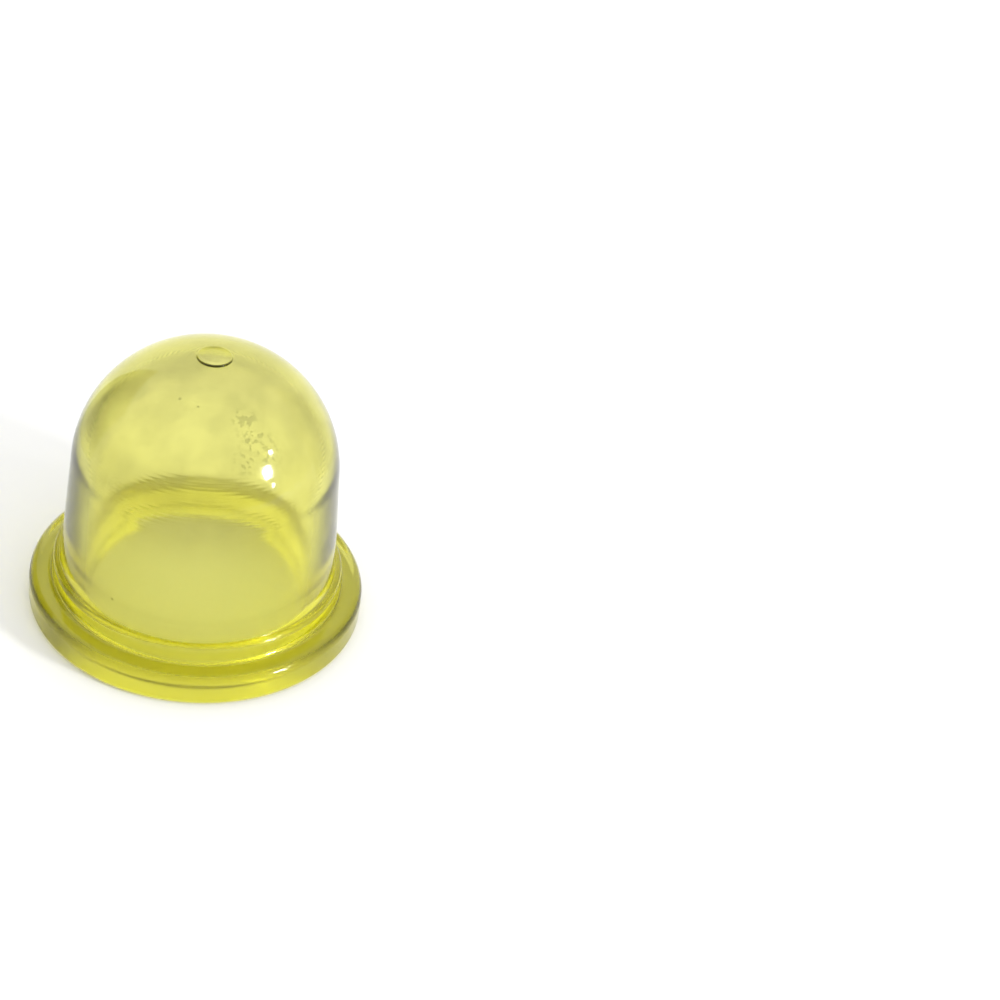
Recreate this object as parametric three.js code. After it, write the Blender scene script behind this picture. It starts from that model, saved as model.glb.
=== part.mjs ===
// Primer bulb of a small petrol engine: a see-through elastic dome with a thick round flange.
// Millimetres, +Z up. The origin is the centre of the flange's underside, and Z is the bulb's axis.
// The real bulb is one moulding, so it is one closed body, turned from one section of even steps:
// inside of the crown, down the core side to the mouth, under the flange, and up the outside.
import * as THREE from 'three';

// Flange, which the engine's cover ring clamps
const flangeDiameter = 22.0;
const flangeThickness = 2.2;
const flangeTopRounding = 0.6;
const flangeFootRounding = 0.45;

// Outside of the dome
const wallFootDiameter = 18.2;
const rootFillet = 0.8;
const shoulderDiameter = 17.1;
const shoulderHeight = 11.3;
const crownHeight = 19.1;
const crownFullness = 0.552;

// Inside of the dome, left by the mould's core
const mouthDiameter = 15.3;
const mouthRounding = 0.3;
const shoulderWall = 1.05;
const crownWall = 1.1;

// Round gate mark on top of the crown, with a dished face
const gateMarkDiameter = 2.3;
const gateMarkHeight = 0.25;
const gateMarkRounding = 0.12;
const gateMarkDish = 0.08;

// Fineness of the faceted surface
const turnSteps = 64;
const crownSteps = 13;
const roundingSteps = 4;
const dishSteps = 3;

const flangeRadius = flangeDiameter / 2;
const wallFootRadius = wallFootDiameter / 2;
const shoulderRadius = shoulderDiameter / 2;
const mouthRadius = mouthDiameter / 2;
const gateMarkRadius = gateMarkDiameter / 2;

// Section points are (distance from the axis, height)
const point = (radius, height) => new THREE.Vector2(radius, height);
const quarterTurn = Math.PI / 2;

function arc(centre, radius, startAngle, endAngle) {
  const clockwise = endAngle < startAngle;
  const curve = new THREE.EllipseCurve(
    centre.x, centre.y, radius, radius, startAngle, endAngle, clockwise,
  );
  return curve.getPoints(roundingSteps);
}

// A dome's quarter section, tangent to the tapering wall below it and level at the axis
function crownCurve(start, wallFoot, top) {
  const rise = top - start.y;
  const upTheWall = start.clone().sub(wallFoot).normalize();
  const wallHandle = start.clone().addScaledVector(upTheWall, rise * crownFullness);
  const axisHandle = point(start.x * crownFullness, top);
  return new THREE.CubicBezierCurve(start, wallHandle, axisHandle, point(0, top));
}

// Where a crown curve, which climbs inwards, reaches the given distance from the axis
function curvePositionAt(curve, radius) {
  let before = 0;
  let after = 1;
  while (after - before > 1e-9) {
    const middle = (before + after) / 2;
    if (curve.getPoint(middle).x > radius) before = middle;
    else after = middle;
  }
  return before;
}

function insideOfDome() {
  const shoulder = point(shoulderRadius - shoulderWall, shoulderHeight);
  const mouth = point(mouthRadius, mouthRounding);
  const crown = crownCurve(shoulder, mouth, crownHeight - crownWall);
  return crown.getPoints(crownSteps).reverse();
}

function mouthEdge() {
  const centre = point(mouthRadius + mouthRounding, mouthRounding);
  return arc(centre, mouthRounding, 2 * quarterTurn, 3 * quarterTurn);
}

function flangeRim() {
  const foot = point(flangeRadius - flangeFootRounding, flangeFootRounding);
  const top = point(flangeRadius - flangeTopRounding, flangeThickness - flangeTopRounding);
  return [
    ...arc(foot, flangeFootRounding, -quarterTurn, 0),
    ...arc(top, flangeTopRounding, 0, quarterTurn),
  ];
}

// Fillet between the flange's upper face and the tapering wall, tangent to both
function rootOfDome() {
  const taper = Math.atan2(wallFootRadius - shoulderRadius, shoulderHeight - flangeThickness);
  const outwards = rootFillet / Math.cos(taper) - rootFillet * Math.tan(taper);
  const centre = point(wallFootRadius + outwards, flangeThickness + rootFillet);
  return arc(centre, rootFillet, 3 * quarterTurn, 2 * quarterTurn + taper);
}

function outsideOfCrown() {
  const shoulder = point(shoulderRadius, shoulderHeight);
  const wallFoot = point(wallFootRadius, flangeThickness);
  const crown = crownCurve(shoulder, wallFoot, crownHeight);
  const markFoot = curvePositionAt(crown, gateMarkRadius);
  return Array.from({ length: crownSteps + 1 }, (_, step) =>
    crown.getPoint((markFoot * step) / crownSteps),
  );
}

function gateMark() {
  const top = crownHeight + gateMarkHeight;
  const rimRadius = gateMarkRadius - gateMarkRounding;
  const rim = arc(point(rimRadius, top - gateMarkRounding), gateMarkRounding, 0, quarterTurn);
  const dish = new THREE.QuadraticBezierCurve(
    point(rimRadius, top), point(rimRadius / 2, top - gateMarkDish), point(0, top - gateMarkDish),
  );
  return [...rim, ...dish.getPoints(dishSteps).slice(1)];
}

function primerBulb() {
  const section = [
    ...insideOfDome(),
    ...mouthEdge(),
    ...flangeRim(),
    ...rootOfDome(),
    ...outsideOfCrown(),
    ...gateMark(),
  ];
  const turned = new THREE.LatheGeometry(section, turnSteps);
  turned.rotateX(quarterTurn);
  const yellowElastomer = new THREE.MeshStandardMaterial({
    color: 0xd2cf62,
    roughness: 0.2,
    metalness: 0,
    transparent: true,
    opacity: 0.6,
  });
  const bulb = new THREE.Mesh(turned, yellowElastomer);
  bulb.name = 'primer_bulb';
  return bulb;
}

const part = new THREE.Group();
part.add(primerBulb());

export default part;
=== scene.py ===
# %% [markdown]
# # A primer bulb in see-through yellow elastomer
# The bulb is a single moulding: a dome that a thumb presses in, on a thick round flange that a cover
# ring clamps to the engine. Nothing is assembled here, so the whole likeness rests on three things:
# a true section, a material that is as clear and as yellow as the real one, and light that shows it.

import math

import bpy
from mathutils import Matrix, Vector


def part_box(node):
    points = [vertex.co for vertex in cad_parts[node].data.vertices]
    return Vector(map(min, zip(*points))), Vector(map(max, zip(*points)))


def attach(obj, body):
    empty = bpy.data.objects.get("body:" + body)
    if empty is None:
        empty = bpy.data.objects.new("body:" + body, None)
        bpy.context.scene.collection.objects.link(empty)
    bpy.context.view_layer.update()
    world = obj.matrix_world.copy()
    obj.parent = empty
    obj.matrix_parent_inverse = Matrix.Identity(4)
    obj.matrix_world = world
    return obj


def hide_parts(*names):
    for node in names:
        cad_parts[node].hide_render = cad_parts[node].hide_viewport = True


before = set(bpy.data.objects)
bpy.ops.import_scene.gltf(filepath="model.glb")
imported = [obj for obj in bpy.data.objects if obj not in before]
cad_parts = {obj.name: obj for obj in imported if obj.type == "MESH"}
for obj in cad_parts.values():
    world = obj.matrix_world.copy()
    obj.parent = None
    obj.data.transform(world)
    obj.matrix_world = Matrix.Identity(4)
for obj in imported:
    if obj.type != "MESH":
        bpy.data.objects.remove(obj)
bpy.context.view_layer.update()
scene = bpy.context.scene
scene.view_settings.view_transform = "Standard"
bulb_low, bulb_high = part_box("primer_bulb")
print("CAD box, low and high corner:", list(bulb_low), list(bulb_high))

# %% [markdown]
# ## The camera
# It goes in first, because every later choice is judged through it. The photograph looks down on the
# bulb at 37 degrees from about 15 cm, and the bulb stands left of the picture's middle. A camera that
# looks at a point to the bulb's right gives that framing with no lens shift.

# %% Camera
MM = 0.001
CAMERA_PLACE = Vector((0.0, -119.84, 98.21)) * MM
CAMERA_AIM = Vector((19.68, 2.64, 8.0)) * MM
CAMERA_ROLL = math.radians(9.92)
CAMERA_LENS = 82.26


def look_from(place, aim, roll):
    towards = (aim - place).to_track_quat("-Z", "Y").to_matrix().to_4x4()
    return Matrix.Translation(place) @ towards @ Matrix.Rotation(roll, 4, "Z")


camera_data = bpy.data.cameras.new("camera")
camera_data.lens = CAMERA_LENS
camera_data.clip_start = MM
camera = bpy.data.objects.new("camera", camera_data)
scene.collection.objects.link(camera)
camera.matrix_world = look_from(CAMERA_PLACE, CAMERA_AIM, CAMERA_ROLL)
scene.camera = camera
print("camera stands", round((CAMERA_PLACE - CAMERA_AIM).length / MM), "mm from its aim")

# %% [markdown]
# ## The section
# A round moulding is decided by half of its section. The sizes below are those of the real part, in
# metres: the flange with its rounded rim, a low collar that centres the cover ring, a wall that tapers
# so that the part leaves its mould, and a crown that is a quarter of an oval. A real bulb could be cut
# in two and its half traced; here each stretch of the trace is a line, an arc or a short curve.

# %% Sizes of the section
FLANGE_RADIUS = bulb_high[0]
FLANGE_THICKNESS = 2.2 * MM
FLANGE_TOP_ROUNDING = 0.6 * MM
FLANGE_FOOT_ROUNDING = 0.45 * MM
COLLAR_RADIUS = 9.5 * MM
COLLAR_TOP = 3.55 * MM
COLLAR_ROUNDING = 0.35 * MM
COLLAR_FOOT_FILLET = 0.4 * MM
WALL_FILLET_HEIGHT = 0.8 * MM
WALL_FOOT_RADIUS = 9.1 * MM
SHOULDER_RADIUS = 8.58 * MM
SHOULDER_HEIGHT = 11.3 * MM
CROWN_FULLNESS = 0.552
MOUTH_RADIUS = 7.65 * MM
MOUTH_ROUNDING = 0.3 * MM
SHOULDER_WALL = 1.05 * MM
CROWN_WALL = 1.1 * MM
GATE_MARK_RADIUS = 1.13 * MM
GATE_MARK_HEIGHT = 0.08 * MM
GATE_MARK_ROUNDING = 0.075 * MM
GATE_MARK_DISH = 0.04 * MM
CROWN_HEIGHT = bulb_high[2] - GATE_MARK_HEIGHT
print("crown at", round(CROWN_HEIGHT / MM, 2), "mm, flange radius", round(FLANGE_RADIUS / MM, 2), "mm")

# %% [markdown]
# ## Fine steps where light bends
# A clear part shows every kink twice, once on each face of its wall. So the trace gets short steps on
# its arcs, and two extra points beside each end of a straight stretch: they keep the smooth shading of
# the arc from leaking into the straight wall, as a support loop does in edge modelling.

# %% Helpers for the trace
ARC_STEPS = 8
CROWN_STEPS = 44
LONGEST_STEP = 0.6 * MM
SUPPORT = 0.04 * MM
QUARTER = math.pi / 2


def oval(centre, width, height, start, end):
    angles = [start + (end - start) * step / ARC_STEPS for step in range(ARC_STEPS + 1)]
    return [(centre[0] + width * math.cos(a), centre[1] + height * math.sin(a)) for a in angles]


def arc(centre, radius, start, end):
    return oval(centre, radius, radius, start, end)


def crown(start, foot, top):
    """A dome's quarter, tangent to the wall that comes up from foot, and level at the axis."""
    rise = top - start[1]
    up = Vector((start[0] - foot[0], start[1] - foot[1])).normalized() * rise * CROWN_FULLNESS
    middle = Vector((start[0] * CROWN_FULLNESS, top))
    handles = [Vector(start), Vector(start) + up, middle, Vector((0, top))]
    points = []
    for step in range(CROWN_STEPS + 1):
        t = step / CROWN_STEPS
        weights = [(1 - t) ** 3, 3 * t * (1 - t) ** 2, 3 * t * t * (1 - t), t**3]
        points.append(sum((w * h for w, h in zip(weights, handles)), Vector((0, 0))))
    return [(p.x, p.y) for p in points]


def with_supports(points):
    """The same trace with no long stretch: support points near its ends and even steps between."""
    fine = [points[0]]
    for before, after in zip(points, points[1:]):
        stretch = math.dist(before, after)
        count = max(1, math.ceil(stretch / LONGEST_STEP))
        shares = {step / count for step in range(1, count + 1)}
        if stretch > 5 * SUPPORT:
            shares |= {SUPPORT / stretch, 1 - SUPPORT / stretch}
        for share in sorted(shares):
            fine.append(tuple(b + (a - b) * share for b, a in zip(before, after)))
    return fine


# %% [markdown]
# ## Tracing the moulding
# The trace starts at the axis, inside the crown. It runs down to the mouth, under the flange, round its
# rim, up the collar and the wall, over the crown, and onto the gate mark, the small dished disc where
# the plastic came into the mould. Both ends are on the axis, so the turned body closes itself.

# %% The trace
def flange_and_mouth():
    mouth_centre = (MOUTH_RADIUS + MOUTH_ROUNDING, MOUTH_ROUNDING)
    foot_centre = (FLANGE_RADIUS - FLANGE_FOOT_ROUNDING, FLANGE_FOOT_ROUNDING)
    top_centre = (FLANGE_RADIUS - FLANGE_TOP_ROUNDING, FLANGE_THICKNESS - FLANGE_TOP_ROUNDING)
    return [
        *arc(mouth_centre, MOUTH_ROUNDING, 2 * QUARTER, 3 * QUARTER),
        *arc(foot_centre, FLANGE_FOOT_ROUNDING, -QUARTER, 0),
        *arc(top_centre, FLANGE_TOP_ROUNDING, 0, QUARTER),
    ]


def collar():
    foot_centre = (COLLAR_RADIUS + COLLAR_FOOT_FILLET, FLANGE_THICKNESS + COLLAR_FOOT_FILLET)
    edge = COLLAR_RADIUS - COLLAR_ROUNDING
    fillet_top = COLLAR_TOP + WALL_FILLET_HEIGHT
    climbed = (fillet_top - FLANGE_THICKNESS) / (SHOULDER_HEIGHT - FLANGE_THICKNESS)
    wall = WALL_FOOT_RADIUS + (SHOULDER_RADIUS - WALL_FOOT_RADIUS) * climbed
    return [
        *arc(foot_centre, COLLAR_FOOT_FILLET, 3 * QUARTER, 2 * QUARTER),
        *arc((edge, COLLAR_TOP - COLLAR_ROUNDING), COLLAR_ROUNDING, 0, QUARTER),
        *oval((edge, fillet_top), edge - wall, WALL_FILLET_HEIGHT, 3 * QUARTER, 2 * QUARTER)[1:],
    ]


def gate_mark():
    top = CROWN_HEIGHT + GATE_MARK_HEIGHT
    rim = GATE_MARK_RADIUS - GATE_MARK_ROUNDING
    dish = [(rim * 0.7, top - GATE_MARK_DISH * 0.75), (0.0, top - GATE_MARK_DISH)]
    return arc((rim, top - GATE_MARK_ROUNDING), GATE_MARK_ROUNDING, 0, QUARTER) + dish


def bulb_section():
    mouth = (MOUTH_RADIUS, MOUTH_ROUNDING)
    inner_shoulder = (SHOULDER_RADIUS - SHOULDER_WALL, SHOULDER_HEIGHT)
    inside = crown(inner_shoulder, mouth, CROWN_HEIGHT - CROWN_WALL)[::-1]
    foot = (WALL_FOOT_RADIUS, FLANGE_THICKNESS)
    outside = crown((SHOULDER_RADIUS, SHOULDER_HEIGHT), foot, CROWN_HEIGHT)
    outside = [p for p in outside if p[0] > GATE_MARK_RADIUS]
    outside.append((GATE_MARK_RADIUS, outside[-1][1]))
    return with_supports(inside + flange_and_mouth() + collar() + outside + gate_mark())


section = bulb_section()
print("the trace has", len(section), "points")

# %% [markdown]
# ## Turning it into a body
# One vertex is made from a plane merged at its middle, and extruded from point to point of the trace.
# Spin then turns the trace round the axis, as a lathe does. Its two ends meet the start of the turn,
# so doubles are merged, and only then are the normals made to point outwards.

# %% Spin the trace
TURN_STEPS = 256
DOUBLES = 1e-7


def traced_line(points, name):
    bpy.ops.object.select_all(action="DESELECT")
    start = (points[0][0], 0.0, points[0][1])
    bpy.ops.mesh.primitive_plane_add(size=MM, location=(0, 0, 0))
    piece = bpy.context.object
    piece.name = name
    piece.data.name = name
    bpy.ops.object.mode_set(mode="EDIT")
    bpy.ops.mesh.select_all(action="SELECT")
    bpy.ops.mesh.merge(type="CENTER")
    bpy.ops.transform.translate(value=start)
    for before, after in zip(points, points[1:]):
        stride = (after[0] - before[0], 0.0, after[1] - before[1])
        bpy.ops.mesh.extrude_region_move(TRANSFORM_OT_translate={"value": stride})
    bpy.ops.object.mode_set(mode="OBJECT")
    return piece


def turned(piece):
    bpy.ops.object.mode_set(mode="EDIT")
    bpy.ops.mesh.select_all(action="SELECT")
    bpy.ops.mesh.spin(steps=TURN_STEPS, angle=2 * math.pi, center=(0, 0, 0), axis=(0, 0, 1))
    bpy.ops.mesh.select_all(action="SELECT")
    bpy.ops.mesh.remove_doubles(threshold=DOUBLES)
    bpy.ops.mesh.normals_make_consistent(inside=False)
    bpy.ops.object.mode_set(mode="OBJECT")
    bpy.ops.object.shade_smooth_by_angle(angle=math.radians(40))


bulb = traced_line(section, "bulb_moulding")
turned(bulb)
triangles = sum(len(face.vertices) - 2 for face in bulb.data.polygons)
print("the bulb has", len(bulb.data.vertices), "points and", triangles, "triangles")

# %% [markdown]
# ## What the elastomer is made of
# Cast polyurethane of this kind is clear, and its yellow gets stronger with the way that light has to
# go through it: pale in the thin dome, strong in the flange. That is absorption inside the body, and no
# colour on its skin. The shares below are what red, green and blue lose on each metre.

# %% Values of the elastomer
PLASTIC_IOR = 1.5
ABSORBED_PER_METRE = (14.0, 22.0, 610.0)
CLEAR_SKIN = (1.0, 1.0, 1.0, 1.0)
# Painted shade: the grey that darkens the colour of the upper dome.
SHADED_DOME_SKIN = (0.82, 0.81, 0.85, 1.0)
DOME_HAZE = 0.07
FLANGE_HAZE = 0.08
CORE_HAZE = 0.13
UNDERSIDE_HAZE = 0.3


def absorption_sockets(per_metre):
    """Density and colour that absorb the given share of red, green and blue on each metre."""
    density = max(per_metre) * 1.02
    colour = [1 - share / density for share in per_metre]
    return density, (*colour, 1.0)


# %% [markdown]
# ## Small helpers for nodes
# Every mask below is arithmetic on the place of a point in the part, so it holds from any side and
# needs no picture. These helpers add a node, and write a sum or a ramp in one line each.

# %% Node helpers
def node(material, kind, place=(0, 0), **values):
    made = material.node_tree.nodes.new(kind)
    made.location = place
    for name, value in values.items():
        setattr(made, name, value)
    return made


def connect(material, source, socket):
    if isinstance(source, bpy.types.NodeSocket):
        material.node_tree.links.new(source, socket)
    else:
        socket.default_value = source


def maths(material, operation, *sources):
    made = node(material, "ShaderNodeMath", operation=operation)
    for source, socket in zip(sources, made.inputs):
        connect(material, source, socket)
    return made.outputs["Value"]


def vector_maths(material, operation, output, *sources):
    made = node(material, "ShaderNodeVectorMath", operation=operation)
    for source, socket in zip(sources, made.inputs):
        connect(material, source, socket)
    return made.outputs[output]


def ramp(material, value, start, end, low, high):
    made = node(material, "ShaderNodeMapRange", interpolation_type="SMOOTHSTEP")
    names = ("Value", "From Min", "From Max", "To Min", "To Max")
    for name, source in zip(names, (value, start, end, low, high)):
        connect(material, source, made.inputs[name])
    return made.outputs["Result"]


def noise(material, position, per_metre, detail):
    made = node(material, "ShaderNodeTexNoise")
    connect(material, position, made.inputs["Vector"])
    made.inputs["Scale"].default_value = per_metre
    made.inputs["Detail"].default_value = detail
    return made.outputs["Fac"]


def blend(material, share, first, second, kind="MIX"):
    made = node(material, "ShaderNodeMix", data_type="RGBA", blend_type=kind)
    for index, source in ((0, share), (6, first), (7, second)):
        connect(material, source, made.inputs[index])
    return made.outputs[2]


# %% [markdown]
# ## The moulded skin
# The outside copies a polished mould, and the inside copies a core that is left a little matt so that
# the soft part lets go of it. So the dome's inner face blurs what is seen through it, while highlights
# outside stay sharp. The mask is an oval through the middle of the wall: inside it lies the core side.

# %% Haze of the two sides
MID_WALL_RADIUS = SHOULDER_RADIUS - SHOULDER_WALL / 2
MID_WALL_RISE = CROWN_HEIGHT - CROWN_WALL / 2 - SHOULDER_HEIGHT
MASK_EDGE = 0.01
DOME_STARTS = (COLLAR_TOP, COLLAR_TOP + 3 * MM)
UNDERSIDE_ENDS = (0.05 * MM, 0.3 * MM)
WEAR_PER_METRE = 420.0
WEAR_HAZE = 0.05


def skin_haze(material, position, height):
    above_shoulder = maths(material, "SUBTRACT", height, SHOULDER_HEIGHT)
    above_shoulder = maths(material, "MAXIMUM", above_shoulder, 0.0)
    parts = node(material, "ShaderNodeSeparateXYZ")
    connect(material, position, parts.inputs[0])
    place = node(material, "ShaderNodeCombineXYZ")
    for index, source in enumerate((parts.outputs["X"], parts.outputs["Y"], above_shoulder)):
        connect(material, source, place.inputs[index])
    scale = (1 / MID_WALL_RADIUS, 1 / MID_WALL_RADIUS, 1 / MID_WALL_RISE)
    scaled = vector_maths(material, "MULTIPLY", "Vector", place.outputs[0], scale)
    distance = vector_maths(material, "LENGTH", "Value", scaled)
    outside = ramp(material, height, *DOME_STARTS, FLANGE_HAZE, DOME_HAZE)
    wall_side = ramp(material, distance, 1 - MASK_EDGE, 1 + MASK_EDGE, CORE_HAZE, outside)
    underside = ramp(material, height, *UNDERSIDE_ENDS, UNDERSIDE_HAZE, 0.0)
    worn = ramp(material, noise(material, position, WEAR_PER_METRE, 3.0), 0.45, 0.75, 0.0, WEAR_HAZE)
    return maths(material, "ADD", maths(material, "MAXIMUM", wall_side, underside), worn)


# %% [markdown]
# ## Painted shade and traces of handling
# The colour of the upper dome is greyed and the flange is left clear. This is painted shade, standing
# in for the dimmer light that comes through the dome. It is uneven, so a slow noise breaks it up. The
# photograph also shows a dark smudge above the highlight and a few specks; each is a ball round its
# place, and the smudge is broken by a finer noise, as a finger leaves it.

# %% Painted shade, smudge and specks
SMUDGES = [
    ((2.95, -5.27, 16.91), 1.9),
    ((2.13, -4.46, 17.76), 1.3),
    ((3.81, -5.63, 16.13), 1.2),
    ((2.3, -6.4, 15.9), 1.2),
]
SPECKS = [
    ((-1.9, -3.54, 18.28), 0.17),
    ((-0.77, -4.11, 18.19), 0.13),
    ((-5.21, -7.26, 5.18), 0.15),
]
FULL_SHARE = 0.3
# Heights over which the painted shade comes in on the dome.
DOME_SHADE_STARTS = (8 * MM, 15 * MM)
CLOUDS_PER_METRE = 420.0
CLOUD_KEEPS = 0.87
STREAKS_PER_METRE = 2400.0
SMUDGE_DEPTH = 0.7
MARK_KEEPS = 0.5


def marks(material, position, places):
    mask = 0.0
    for place, radius in places:
        centre = tuple(Vector(place) * MM)
        distance = vector_maths(material, "DISTANCE", "Value", position, centre)
        edge = (FULL_SHARE * radius * MM, radius * MM)
        mask = maths(material, "MAXIMUM", mask, ramp(material, distance, *edge, 1.0, 0.0))
    return mask


def skin_colour(material, position, height):
    # Painted shade: the upper dome's colour greys with height, standing in for dimmer light through the
    # dome.
    dome_shade = ramp(material, height, *DOME_SHADE_STARTS, 0.0, 1.0)
    shaded_skin = blend(material, dome_shade, CLEAR_SKIN, SHADED_DOME_SKIN)
    clouds = noise(material, position, CLOUDS_PER_METRE, 8.0)
    cloud = ramp(material, clouds, 0.4, 0.64, 1.0, CLOUD_KEEPS)
    shaded_skin = blend(material, dome_shade, shaded_skin, cloud, "MULTIPLY")
    streaks = noise(material, position, STREAKS_PER_METRE, 6.0)
    streaks = ramp(material, streaks, 0.5, 0.58, 0.0, 1.0)
    smudge = maths(material, "MULTIPLY", marks(material, position, SMUDGES), streaks)
    smudge = maths(material, "MULTIPLY", smudge, SMUDGE_DEPTH)
    dark = maths(material, "MAXIMUM", smudge, marks(material, position, SPECKS))
    kept = ramp(material, dark, 0.0, 1.0, 1.0, MARK_KEEPS)
    return blend(material, 1.0, shaded_skin, kept, "MULTIPLY")


# %% [markdown]
# ## The elastomer
# The shader is one clear Principled body with plain absorption inside. A very low, slow bump gives the
# faces the slight waves of a soft moulding, which makes the lines that show through it less perfect.

# %% The elastomer's nodes
WAVE_HEIGHT = 0.002 * MM
WAVES_PER_METRE = 200.0


def yellow_elastomer():
    material = bpy.data.materials.new("yellow_elastomer")
    material.use_nodes = True
    skin = material.node_tree.nodes["Principled BSDF"]
    output = material.node_tree.nodes["Material Output"]
    position = node(material, "ShaderNodeTexCoord", (-1200, 0)).outputs["Object"]
    parts = node(material, "ShaderNodeSeparateXYZ", (-1000, 0))
    connect(material, position, parts.inputs[0])
    height = parts.outputs["Z"]
    skin.inputs["Transmission Weight"].default_value = 1.0
    skin.inputs["IOR"].default_value = PLASTIC_IOR
    connect(material, skin_colour(material, position, height), skin.inputs["Base Color"])
    connect(material, skin_haze(material, position, height), skin.inputs["Roughness"])

    waves = node(material, "ShaderNodeBump", (-200, -300))
    waves.inputs["Distance"].default_value = WAVE_HEIGHT
    connect(material, noise(material, position, WAVES_PER_METRE, 1.0), waves.inputs["Height"])
    connect(material, waves.outputs["Normal"], skin.inputs["Normal"])

    body = node(material, "ShaderNodeVolumeAbsorption", (0, -500))
    density, colour = absorption_sockets(ABSORBED_PER_METRE)
    body.inputs["Density"].default_value = density
    body.inputs["Color"].default_value = colour
    connect(material, body.outputs["Volume"], output.inputs["Volume"])
    return material


bulb.data.materials.clear()
bulb.data.materials.append(yellow_elastomer())
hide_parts("primer_bulb")
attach(bulb, "root")

# %% [markdown]
# ## Floor and room
# A clear part is lit by what stands round it, so the set matters as much as the lamps. The floor is a
# plain pale sheet, and the room an even pale light, so the background is nearly white by its own colour
# and the bulb keeps a soft shadow.

# %% Floor and room
FLOOR_DROP = 0.02 * MM
FLOOR_SIZE = 3.0
FLOOR_COLOUR = (0.95, 0.95, 0.95, 1.0)
ROOM_STRENGTH = 1.02

bpy.ops.mesh.primitive_plane_add(size=FLOOR_SIZE, location=(0, 0, -FLOOR_DROP))
floor = bpy.context.object
floor.name = "floor"
pale_floor = bpy.data.materials.new("pale_floor")
pale_floor.use_nodes = True
pale_floor.node_tree.nodes["Principled BSDF"].inputs["Base Color"].default_value = FLOOR_COLOUR
pale_floor.node_tree.nodes["Principled BSDF"].inputs["Roughness"].default_value = 0.8
floor.data.materials.append(pale_floor)

scene.world = bpy.data.worlds.new("pale_room")
scene.world.use_nodes = True
background = scene.world.node_tree.nodes["Background"]
background.inputs["Color"].default_value = (1.0, 1.0, 1.0, 1.0)
background.inputs["Strength"].default_value = ROOM_STRENGTH

# %% [markdown]
# ## Cards that only the plastic sees
# Clear things need something dark beside them, or their outline melts into the background. A
# photographer stands cards just outside the picture. Here two stand upright on the floor behind the
# bulb, a dark one on the left and a light grey one on the right. Only reflections and refractions see
# them, so they cast no shadow. Each gets pale towards one end and its foot, so it shows no hard edge.

# %% Cards
CARD_HEIGHT = 40 * MM
FOOT_FADE = (-0.5, 0.1)
FOOT_SHARE = 0.6


def card(name, start, end, strength, fade):
    """An upright card on the floor from start to end, in the given grey, pale towards its end."""
    start, end = Vector(start) * MM, Vector(end) * MM
    across = (end - start).to_3d()
    upright = Vector((0, 0, CARD_HEIGHT))
    facing = across.cross(upright).normalized()
    middle = (start + end) / 2
    bpy.ops.mesh.primitive_plane_add(size=1.0, location=(0, 0, 0))
    piece = bpy.context.object
    piece.name = name
    turn = Matrix((across, upright, facing)).transposed().to_4x4()
    piece.matrix_world = Matrix.Translation((middle.x, middle.y, CARD_HEIGHT / 2)) @ turn
    glow = bpy.data.materials.new(name)
    glow.use_nodes = True
    light = node(glow, "ShaderNodeEmission")
    parts = node(glow, "ShaderNodeSeparateXYZ")
    connect(glow, node(glow, "ShaderNodeTexCoord").outputs["Object"], parts.inputs[0])
    sides = ramp(glow, parts.outputs["X"], 0.5 - fade, 0.5, strength, ROOM_STRENGTH)
    foot = ramp(glow, parts.outputs["Y"], *FOOT_FADE, 1.0, 0.0)
    added = maths(glow, "MULTIPLY", foot, (ROOM_STRENGTH - strength) * FOOT_SHARE)
    level = maths(glow, "ADD", sides, added)
    connect(glow, maths(glow, "MINIMUM", level, ROOM_STRENGTH), light.inputs["Strength"])
    connect(glow, light.outputs["Emission"], glow.node_tree.nodes["Material Output"].inputs["Surface"])
    piece.data.materials.append(glow)
    piece.visible_camera = False
    piece.visible_diffuse = False
    piece.visible_shadow = False
    return piece


card("dark_card", (-22.0, 25.0), (-60.0, 10.0), 0.1, 0.2)
card("grey_card", (60.0, 10.0), (24.0, 25.0), 0.7, 0.2)

# %% [markdown]
# ## Window
# The photograph's bulb mirrors a small bright window, low on the right: one strong pane, a smaller one
# above it and a faint one below. Three small square lamps stand where those panes have to be.

# %% Lamps
LAMP_DISTANCE = 0.4


def lamp(name, direction, size, power):
    """A square lamp in the given direction from the bulb (azimuth from the front, elevation)."""
    azimuth, elevation = (math.radians(angle) for angle in direction)
    towards = Vector((math.sin(azimuth), -math.cos(azimuth), 0)) * math.cos(elevation)
    towards += Vector((0, 0, math.sin(elevation)))
    data = bpy.data.lights.new(name, "AREA")
    data.size = size
    data.energy = power
    light = bpy.data.objects.new(name, data)
    scene.collection.objects.link(light)
    target = Vector((0, 0, 8 * MM))
    light.matrix_world = look_from(target + towards * LAMP_DISTANCE, target, 0)
    return light


lamp("main_pane", (58, 21), 0.05, 0.9)
lamp("upper_pane", (70, 32), 0.022, 0.09)
lamp("lower_pane", (60, 9), 0.02, 0.05)
